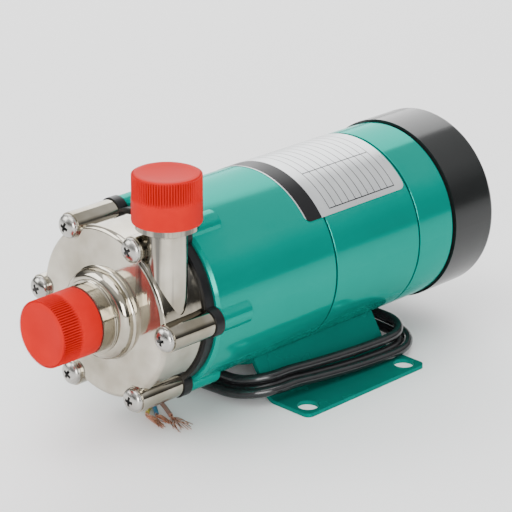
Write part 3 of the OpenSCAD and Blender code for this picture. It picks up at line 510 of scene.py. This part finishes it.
recess.solver = "EXACT"
recess.use_self = True
recess.object = cross
only(first_screw)
bpy.ops.object.modifier_apply(modifier="recess")
bpy.data.objects.remove(cross)
smooth(first_screw, 30.0)
for number, twist in enumerate(screw_twists, 1):
    angle = math.tau * (number - 1) / len(screw_twists)
    screw = copied(first_screw, f"pan_screw_{number}")
    set_down(screw, (0, 0, math.radians(twist)), (0, 0, 0))
    set_down(screw, to_the_front, (screw_circle_r * math.cos(angle), screw_seat_y,
                                   axis_height + screw_circle_r * math.sin(angle)))
    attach(screw, "pump")
    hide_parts(f"casing_screw_{number}")
bpy.data.objects.remove(first_screw)


# Port caps
# Two soft red caps, moulded in polyethylene, keep dirt out of the ports. The closed half has eighty
# fine grip ribs, with painted shade between them, that run out into a plain, slightly wider skirt.

outlet_cap_z = 80.5 * mm
inlet_cap_y = -97.1 * mm
groove_r = 11.05
edge_round = 0.55
edge_middle = (groove_r - edge_round, 16.05)
skirt_rise = 0.67
run_out_from = 9.9
run_out_length = 2.2
run_out_steps = 8
bore_r = 10.65
rib_count = 80
rib_middle = (11.2 * mm, 0, 11.8 * mm)
rib_length = 8.8 * mm
rib_foot_r = 0.28 * mm
rib_top_r = 0.27 * mm
rib_stretch = (1.8, 1.0, 1.0)
shade_top_r = 11.4 * mm
shade_depth = 0.35 * mm
shade_floor_r = 11.04 * mm

cap_red = finish("cap_red", ((0.47, 0.008, 0.006), (0.53, 0.013, 0.009)), (0.6, 0.09, 0.07),
                 (0.44, 0.54), (90.0, 1800.0, 380.0, 0.03), 0.06, {"Specular IOR Level": 0.04})
cap_axes = object_axes(cap_red)


def rib_groove_shade(axes, middle):
    """A mask of painted shade that is 1 on the floor between the ribs round one cap's axis and fades up their
    flanks.
    """
    offsets = [sum_of(cap_red, "SUBTRACT", cap_axes[axis], place) for axis, place in zip(axes, middle)]
    squares = [sum_of(cap_red, "MULTIPLY", offset, offset) for offset in offsets]
    away = sum_of(cap_red, "SQRT", sum_of(cap_red, "ADD", *squares), 0)
    depth = sum_of(cap_red, "DIVIDE", sum_of(cap_red, "SUBTRACT", shade_top_r, away), shade_depth)
    depth = sum_of(cap_red, "MINIMUM", sum_of(cap_red, "MAXIMUM", depth, 0.0), 1.0)
    return sum_of(cap_red, "MULTIPLY", depth, sum_of(cap_red, "GREATER_THAN", away, shade_floor_r))


outlet_groove_shade = rib_groove_shade("XY", outlet_place)
inlet_groove_shade = rib_groove_shade("XZ", (0.0, axis_height))
# The darker red laid between the ribs is painted shade in the grooves.
laid_over(cap_red, sum_of(cap_red, "MAXIMUM", outlet_groove_shade, inlet_groove_shade), (0.34, 0.006, 0.005), 0.6)
cap_top = [(0.0, 16.5), (8.6, 16.5), (9.0, 16.6)] + rounded(edge_middle, (edge_round, edge_round), 15)
run_out = [(groove_r + skirt_rise * (0.5 - 0.5 * math.cos(math.pi * t / run_out_steps)),
            run_out_from - run_out_length * t / run_out_steps) for t in range(run_out_steps + 1)]
skirt_and_bore = [(11.78, 0.5), (11.66, 0.14), (11.4, 0.0), (10.95, 0.0), (bore_r, 0.3), (bore_r, 14.6),
                  (10.4, 14.8), (0.0, 14.8)]
outlet_cover = turn_about_z("outlet_cover", cap_top + run_out + skirt_and_bore, 120)
bpy.ops.object.mode_set(mode="EDIT")
bpy.ops.mesh.select_all(action="DESELECT")
bpy.ops.mesh.primitive_cone_add(vertices=10, radius1=rib_foot_r, radius2=rib_top_r, depth=rib_length,
                                location=rib_middle)
bpy.ops.transform.resize(value=rib_stretch, center_override=rib_middle)
bpy.ops.mesh.spin(steps=rib_count - 1, angle=math.tau * (rib_count - 1) / rib_count, dupli=True,
                  center=(0, 0, 0), axis=(0, 0, 1))
bpy.ops.object.mode_set(mode="OBJECT")
smooth(outlet_cover, 40.0)
outlet_cover.data.materials.append(cap_red)
inlet_cover = copied(outlet_cover, "inlet_cover")
set_down(outlet_cover, standing, (*outlet_place, outlet_cap_z))
set_down(inlet_cover, to_the_front, (0, inlet_cap_y, axis_height))
for cover, body in ((outlet_cover, "outlet_cap"), (inlet_cover, "inlet_cap")):
    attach(cover, body)
    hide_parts(body)


# Rating plate
# A thin aluminium plate, rolled to the motor and glued over the front seam. It has a black printed
# band at the pump's end and a ruled table, which is left empty.

plate_radius = 33.43
plate_middle = 10.25
plate_length = 51.5
plate_arc = 61.2
plate_corner = 2.6
plate_strips = 60
plate_stock = 0.14
table_ends = (-12.9, 21.0)
table_sides = (-28.4, 18.0)
column_line = -12.0
table_rows = 10
row_line = 0.16
row_margin = 0.3
side_line = 0.2
band_ends = (-25.3, -18.1)
bare_metal = 0.75

bpy.ops.object.select_all(action="DESELECT")
bpy.ops.mesh.primitive_plane_add(size=1 * mm)
plate = named("rating_plate")
plate.scale = (plate_length, plate_arc, 1)
bpy.ops.object.transform_apply(location=True, rotation=True, scale=True)
bpy.ops.object.mode_set(mode="EDIT")
bpy.ops.mesh.select_all(action="SELECT")
bpy.ops.mesh.bevel(offset=plate_corner * mm, segments=8, affect="VERTICES")
for cut in range(1, plate_strips):
    bpy.ops.mesh.select_all(action="SELECT")
    bpy.ops.mesh.bisect(plane_co=(0, (cut / plate_strips - 0.5) * plate_arc * mm, 0), plane_no=(0, 1, 0))
bpy.ops.object.mode_set(mode="OBJECT")
flat = plate.data.uv_layers.new(name="flat_mm")
for corner in plate.data.loops:
    spot = plate.data.vertices[corner.vertex_index].co
    flat.data[corner.index].uv = (spot.x / mm, spot.y / mm)
for spot in plate.data.vertices:
    bow = math.pi / 2 + spot.co.y / mm / plate_radius
    spot.co = (plate_radius * mm * math.cos(bow), plate_middle * mm + spot.co.x,
               axis_height + plate_radius * mm * math.sin(bow))
stock = plate.modifiers.new("stock", "SOLIDIFY")
stock.thickness = plate_stock * mm
stock.offset = 1.0
bpy.ops.object.modifier_apply(modifier="stock")
smooth(plate, 40.0)
plate_metal = finish("plate_metal", ((0.56, 0.575, 0.585), (0.64, 0.655, 0.665)), (0.4, 0.4, 0.4),
                     (0.26, 0.36), (70.0, 2600.0, 420.0, 0.03), 0.05, {"Specular IOR Level": 0.1})
nodes = plate_metal.node_tree.nodes
link = plate_metal.node_tree.links.new
flat_map = nodes.new("ShaderNodeUVMap")
flat_map.uv_map = "flat_mm"
flat_axes = nodes.new("ShaderNodeSeparateXYZ")
link(flat_map.outputs["UV"], flat_axes.inputs["Vector"])


def print_sum(operation, first, second):
    """One sum in the plate's printed pattern."""
    return sum_of(plate_metal, operation, first, second)


def between(value, ends, margin=0.0):
    """A mask that is 1 where a value lies between two ends, or within a margin outside them."""
    return print_sum("MULTIPLY", print_sum("GREATER_THAN", value, ends[0] - margin),
                     print_sum("LESS_THAN", value, ends[1] + margin))


along = flat_axes.outputs["X"]
round_it = flat_axes.outputs["Y"]
half_row = (table_ends[1] - table_ends[0]) / table_rows / 2
from_row = print_sum("PINGPONG", print_sum("SUBTRACT", along, table_ends[0]), half_row)
print_mask = print_sum("LESS_THAN", from_row, row_line)
print_mask = print_sum("MULTIPLY", print_mask, between(along, table_ends, row_margin))
print_mask = print_sum("MULTIPLY", print_mask, between(round_it, table_sides, side_line))
for line in (table_sides[0], column_line, table_sides[1]):
    from_line = print_sum("ABSOLUTE", print_sum("SUBTRACT", round_it, line), 0)
    edge = print_sum("MULTIPLY", print_sum("LESS_THAN", from_line, side_line), between(along, table_ends))
    print_mask = print_sum("MAXIMUM", print_mask, edge)
print_mask = print_sum("MAXIMUM", print_mask, between(along, band_ends))
laid_over(plate_metal, print_mask, (0.012, 0.012, 0.013))
bare = print_sum("MULTIPLY", print_sum("SUBTRACT", 1.0, print_mask), bare_metal)
link(bare, nodes["Principled BSDF"].inputs["Metallic"])
plate.data.materials.append(plate_metal)
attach(plate, "pump")


# Cable sleeve
# A moulded rubber bush in the boss of the bearing ring. It grips the cable and tapers towards it,
# with grooves round it so that it bends in an even curve.

sleeve_exit = (-26.74, 20.0, 15.71)
sleeve_place = tuple(place * mm for place in sleeve_exit)
taper_length = 18.5
taper_tip_r = 2.4
taper_rise = 0.9
groove_count = 6
groove_pitch = 2.6
groove_from = 2.2

sleeve_line = [(0.0, 0.0), (1.75, 0.0), (2.2, 0.0), (taper_tip_r, 0.25)]
for groove in range(groove_count):
    start = groove_from + groove * groove_pitch
    reach = taper_tip_r + taper_rise * start / taper_length
    sleeve_line += [(reach, start), (reach - 0.55, start + 0.25), (reach - 0.5, start + 0.95),
                    (reach + 0.05, start + 1.2)]
sleeve_line += [(taper_tip_r + taper_rise, taper_length), (4.1, taper_length), (4.4, 18.8), (4.4, 19.7),
                (4.2, 20.0), (2.97, 20.0), (2.97, 25.6), (2.6, 26.0), (0.0, 26.0)]
sleeve = turn_about_z("cable_bush", sleeve_line, 48)
smooth(sleeve, 35.0)
sleeve.data.materials.append(seal_rubber)
set_down(sleeve, (-math.pi / 2, 0, 0), sleeve_place)
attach(sleeve, "pump")
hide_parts("cable_sleeve")


# Cable
# A thin three core lead in a black jacket. It leaves the sleeve forwards, is wound three times round
# the foot's walls for storage, and ends bare at the front, where the jacket and the cores are cut back.

cable_width = 3.6
strand = cable_width + 0.05
foot_sheet = 1.6
low = foot_sheet + cable_width / 2
high = low + strand
lane = 28.4
outer = lane + strand
bend = 4 * cable_width
bend_x = lane - bend
front_bend = -23.6
rear_bend = 27.4
front_pull = 3.0
front_lift = 3.0
corner_steps = 5
side_steps = 5
slide_steps = 4
cable_end = (-3, -61.5, 1.9)


def eased(t):
    """Starts and ends level between 0 and 1."""
    return t * t * (3 - 2 * t)


def quarter(x, y, r, start, z_from, z_to):
    """A quarter turn about (x, y) from a start angle in degrees, from one height to another."""
    corner = []
    for k in range(corner_steps + 1):
        angle = math.radians(start + 90 * k / corner_steps)
        corner.append((x + r * math.cos(angle), y + r * math.sin(angle),
                       z_from + (z_to - z_from) * eased(k / corner_steps)))
    return corner


def turn_round_foot(r, z):
    """One turn round the foot from the left side's front end, with the heights at its corners' ends."""
    near_side = []
    for k in range(1, side_steps):
        t = k / side_steps
        ease = (eased(t) + 1 - (1 - t) ** 3) / 2
        near_side.append((bend_x + r - front_pull * (1 - ease), front_bend + (rear_bend - front_bend) * t,
                          z[2] + (z[3] - z[2]) * ease))
    return (quarter(-bend_x, front_bend, r, 180, z[0], z[1])
            + quarter(bend_x - front_pull, front_bend, r, 270, z[1], z[2])
            + near_side
            + quarter(bend_x, rear_bend, r, 0, z[3], z[4])
            + quarter(-bend_x, rear_bend, r, 90, min(z[4], z[5]), z[5]))


def slide(x_from, y_from, x_to, y_to, z_from, z_to):
    """A stretch along the left side that moves over to another lane or height."""
    stretch = []
    for k in range(slide_steps + 1):
        t = k / slide_steps
        stretch.append((-x_from - (x_to - x_from) * eased(t), y_from + (y_to - y_from) * t,
                        z_from + (z_to - z_from) * eased(t)))
    return stretch


route = [sleeve_exit, (-26.74, 16.0, 15.71), (-26.9, 11.0, 15.0), (-27.2, 4.0, 13.4), (-27.6, -4.0, 10.6),
         (-28.0, -12.0, 8.3), (-lane, -19.0, 7.2)]
route += turn_round_foot(bend, (high, high + 0.5, high + front_lift, high + 1, high + 1.2, high))
route += slide(lane, 10, lane, -14, high, low)
route += turn_round_foot(bend, (low, low + 0.5, low + front_lift, low, low, low))
route += slide(lane, 24, outer, 4, low, low)
route += turn_round_foot(bend + strand, (low, low + 0.5, low + front_lift, low, low, low + 1))
route += slide(outer, 24, outer, 15, low + 1.6, high)
route += [(-outer, -22, high), (-outer - 0.2, -28, high - 0.1), (-outer - 0.1, -34, 6.2), (-31, -41, 4.6),
          (-28, -48, 2.9), (-22.5, -54, 2.1), (-16, -58, 1.9), (-7, -60, 1.9), cable_end]


def drawn_line(name, routes, width, sides, material):
    """A round line along smooth routes in mm, one spline for each."""
    line = bpy.data.curves.new(name, "CURVE")
    line.dimensions = "3D"
    line.bevel_depth = width / 2 * mm
    line.bevel_resolution = sides
    line.use_fill_caps = True
    line.resolution_u = 8
    for points in routes:
        spline = line.splines.new("BEZIER")
        spline.bezier_points.add(len(points) - 1)
        for knot, point in zip(spline.bezier_points, points):
            knot.co = Vector(point) * mm
            knot.handle_left_type = "AUTO"
            knot.handle_right_type = "AUTO"
    piece = bpy.data.objects.new(name, line)
    bpy.context.scene.collection.objects.link(piece)
    piece.data.materials.append(material)
    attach(piece, "pump")
    return piece


jacket = finish("cable_jacket", ((0.012, 0.012, 0.013), (0.017, 0.017, 0.018)), (0.04, 0.04, 0.04),
                (0.15, 0.25), (130.0, 1600.0, 420.0, 0.04), 0.03, {"Specular IOR Level": 0.5})
lead = drawn_line("power_lead", [route], cable_width, 6, jacket)
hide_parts("cable")


# Cores
# Three stranded copper cores in brown, blue and yellow green skins come out of the jacket. Their
# skins are stripped, and the fine copper wires fan out over the floor.

core_width = 1.6
wire_width = 0.24
wire_count = 15
bundle_r = 0.55
wire_floor = 0.2
ahead = Vector((0.936, -0.351, 0))
aside = Vector((0.351, 0.936, 0))
core_root = Vector(cable_end) + 0.2 * ahead
brown_start = core_root + 0.95 * aside + Vector((0, 0, 0.5))
blue_start = core_root - 0.95 * aside + Vector((0, 0, 0.5))
earth_start = core_root - Vector((0, 0, 1))

brown_skin = finish("brown_skin", ((0.27, 0.135, 0.105), (0.34, 0.175, 0.14)), (0.4, 0.3, 0.25),
                    (0.3, 0.42), (260.0, 2400.0, 700.0, 0.05), 0.08, {"Subsurface Weight": 0.1})
blue_skin = finish("blue_skin", ((0.03, 0.135, 0.24), (0.045, 0.18, 0.30)), (0.2, 0.35, 0.5),
                   (0.3, 0.42), (260.0, 2400.0, 700.0, 0.05), 0.08, {"Subsurface Weight": 0.1})
earth_skin = finish("earth_skin", ((0.36, 0.34, 0.04), (0.40, 0.37, 0.05)), (0.1, 0.3, 0.05),
                    (0.3, 0.42), (260.0, 2400.0, 300.0, 0.3), 0.08, {"Subsurface Weight": 0.1})
bare_copper = finish("bare_copper", ((0.58, 0.26, 0.16), (0.80, 0.45, 0.32)), (0.35, 0.15, 0.09),
                     (0.22, 0.34), (900.0, 4000.0, 900.0, 0.06), 0.05, {"Metallic": 1.0})
brown_line = [brown_start, brown_start + Vector((4, -0.9, -0.2)),
              Vector((5.4, -62.9, 1.7)), Vector((9.8, -64.8, 1.2))]
brown_tips = ((20.2, -62.5, 0.25), (22.0, -67.0, 0.2), (21.0, -71.2, 0.2), (17.4, -70.8, 0.2))
blue_line = [blue_start, blue_start + Vector((3, -1.3, 0.5)),
             Vector((2.6, -65.6, 2.2)), Vector((5.8, -67.7, 1.4))]
blue_tips = ((13.2, -66.8, 0.4), (13.8, -68.2, 0.25), (12.6, -69.6, 0.2))
earth_line = [earth_start, earth_start + Vector((1.6, -2.4, 0)),
              Vector((0.4, -66.6, 0.9)), Vector((2.4, -69.0, 0.9))]
earth_tips = ((13.0, -70.2, 0.2), (15.4, -72.8, 0.2), (13.4, -73.6, 0.2))
lead_ends = []
for colour, skin, core_line, tips in (("brown", brown_skin, brown_line, brown_tips),
                                      ("blue", blue_skin, blue_line, blue_tips),
                                      ("earth", earth_skin, earth_line, earth_tips)):
    core = drawn_line(f"{colour}_core", [core_line], core_width, 4, skin)
    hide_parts(f"core_{colour}")
    end = core_line[-1]
    heading = (core_line[-1] - core_line[-2]).normalized()
    wires = []
    for wire in range(wire_count):
        swirl = wire * 2.4
        spread = bundle_r * math.sqrt((wire + 0.5) / wire_count)
        offset = Vector((-heading.y * math.cos(swirl), heading.x * math.cos(swirl), math.sin(swirl))) * spread
        part = wire / (wire_count - 1) * (len(tips) - 1)
        first = min(int(part), len(tips) - 2)
        tip = Vector(tips[first]).lerp(Vector(tips[first + 1]), part - first)
        short = 0.86 + 0.14 * math.sin(wire * 5.1)
        tip = end + (tip - end) * short
        tip.z = wire_floor + 0.5 * abs(math.sin(wire * 3.7))
        middle = (end + tip) / 2 + offset * 1.4 + Vector((0, 0, 0.5 * math.sin(wire * 1.9)))
        middle.z = max(middle.z, wire_floor)
        wires.append([end - heading * 0.8 + offset, end + heading * 1.2 + offset, middle, tip])
    copper = drawn_line(f"{colour}_wires", wires, wire_width, 1, bare_copper)
    lead_ends += [core, copper]


# Studio
# A white table under four softboxes, in a room that is bright overhead and dark near the floor.
# The camera looks down on the pump from the front right.

floor_size = 12.0
sky_steps = ((0.0, 0.09), (0.25, 0.2), (0.55, 1.1))
sky_strength = 0.9
turn = math.radians(44.31)
tilt = math.radians(21.65)
roll = math.radians(0.53)
sight = Vector((0, -0.0133, 0.04344))
distance = 0.83808
sensor_width = 36.0
focal_length = 2351.83 / 512 * sensor_width

bpy.ops.object.select_all(action="DESELECT")
bpy.ops.mesh.primitive_plane_add(size=floor_size, location=(0, 0, 0))
floor = bpy.context.object
floor.name = "floor"
floor_white = bpy.data.materials.new("floor_white")
floor_white.use_nodes = True
floor_shader = floor_white.node_tree.nodes["Principled BSDF"]
floor_shader.inputs["Base Color"].default_value = (0.92, 0.92, 0.92, 1.0)
floor_shader.inputs["Roughness"].default_value = 0.6
floor.data.materials.append(floor_white)

room = bpy.data.worlds.new("room")
bpy.context.scene.world = room
room.use_nodes = True
sky = room.node_tree.nodes["Background"]
sky_place = room.node_tree.nodes.new("ShaderNodeTexCoord")
sky_axes = room.node_tree.nodes.new("ShaderNodeSeparateXYZ")
sky_ramp = room.node_tree.nodes.new("ShaderNodeValToRGB")
sky_ramp.color_ramp.elements.new(sky_steps[1][0])
for stop, (height, grey) in zip(sky_ramp.color_ramp.elements, sky_steps):
    stop.position = height
    stop.color = (grey, grey, grey, 1.0)
room.node_tree.links.new(sky_place.outputs["Generated"], sky_axes.inputs["Vector"])
room.node_tree.links.new(sky_axes.outputs["Z"], sky_ramp.inputs["Fac"])
room.node_tree.links.new(sky_ramp.outputs["Color"], sky.inputs["Color"])
sky.inputs["Strength"].default_value = sky_strength


def softbox(name, place, aim, size, power):
    """A rectangular lamp that points at a spot."""
    lamp = bpy.data.lights.new(name, "AREA")
    lamp.shape = "RECTANGLE"
    lamp.size, lamp.size_y = size
    lamp.energy = power
    box = bpy.data.objects.new(name, lamp)
    bpy.context.scene.collection.objects.link(box)
    box.location = place
    box.rotation_euler = (Vector(aim) - Vector(place)).to_track_quat("-Z", "Y").to_euler()


softbox("overhead", (0.05, -0.25, 1.0), (0, -0.02, 0.03), (0.9, 0.9), 9.0)
softbox("front_right", (0.95, -0.8, 0.38), (0, 0, 0.03), (0.6, 0.6), 14.0)
softbox("front_left", (-0.75, -0.75, 0.6), (0, -0.05, 0.04), (0.6, 0.7), 7.0)
softbox("back_left", (-0.8, 0.82, 0.6), (0, 0, 0.06), (1.2, 1.1), 16.0)

back = Vector((math.sin(turn) * math.cos(tilt), -math.cos(turn) * math.cos(tilt), math.sin(tilt)))
level = Vector((math.cos(turn), math.sin(turn), 0))
upright = back.cross(level)
across = math.cos(roll) * level + math.sin(roll) * upright
upward = math.cos(roll) * upright - math.sin(roll) * level
eye = sight + back * distance
lens = bpy.data.cameras.new("camera")
lens.sensor_width = sensor_width
lens.lens = focal_length
lens.clip_start = 0.01
camera = bpy.data.objects.new("camera", lens)
bpy.context.scene.collection.objects.link(camera)
camera.matrix_world = Matrix(((across.x, upward.x, back.x, eye.x), (across.y, upward.y, back.y, eye.y),
                              (across.z, upward.z, back.z, eye.z), (0, 0, 0, 1)))
bpy.context.scene.camera = camera
